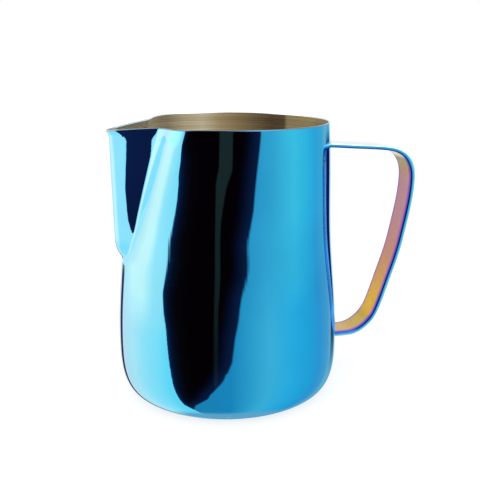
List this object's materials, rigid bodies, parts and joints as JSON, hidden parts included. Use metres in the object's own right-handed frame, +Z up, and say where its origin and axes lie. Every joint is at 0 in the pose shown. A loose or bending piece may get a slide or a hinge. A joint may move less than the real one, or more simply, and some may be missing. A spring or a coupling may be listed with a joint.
{
  "type": "milk frothing pitcher",
  "caption": "Open metal milk frothing pitcher: round bellied bowl, pressed V pouring spout with a sharp ridge, and an open bent-strap handle welded on at both ends.",
  "frame": {"origin": "centre of the flat base, on the bowl's axis, on the table plane", "axes": "+Z up along the bowl's axis, +X towards the handle, -X towards the spout, XZ is the plane of symmetry"},
  "size_m": [0.1261, 0.09, 0.1094],
  "materials": {
    "bowl_mirror": "mirror polished steel with a blue vapour-deposited coating outside, brushed bronze-coloured steel inside",
    "spout_mirror": "mirror polished steel with a blue vapour-deposited coating outside, brushed bronze-coloured steel inside",
    "seam_mirror": "weld seam ground flush, polished and coated with the bowl",
    "strap_mirror": "polished strap, blue coating that shades to mauve and gold on the inner face",
    "weld_tint": "small dressed fillet weld with a purple heat tint in the coating"
  },
  "bodies": {
    "root": {"bowl_body": "bowl_mirror", "pour_spout": "spout_mirror", "spout_seam": "seam_mirror", "handle_strap": "strap_mirror", "upper_handle_weld": "weld_tint", "lower_handle_weld": "weld_tint"}
  },
  "joints": []
}
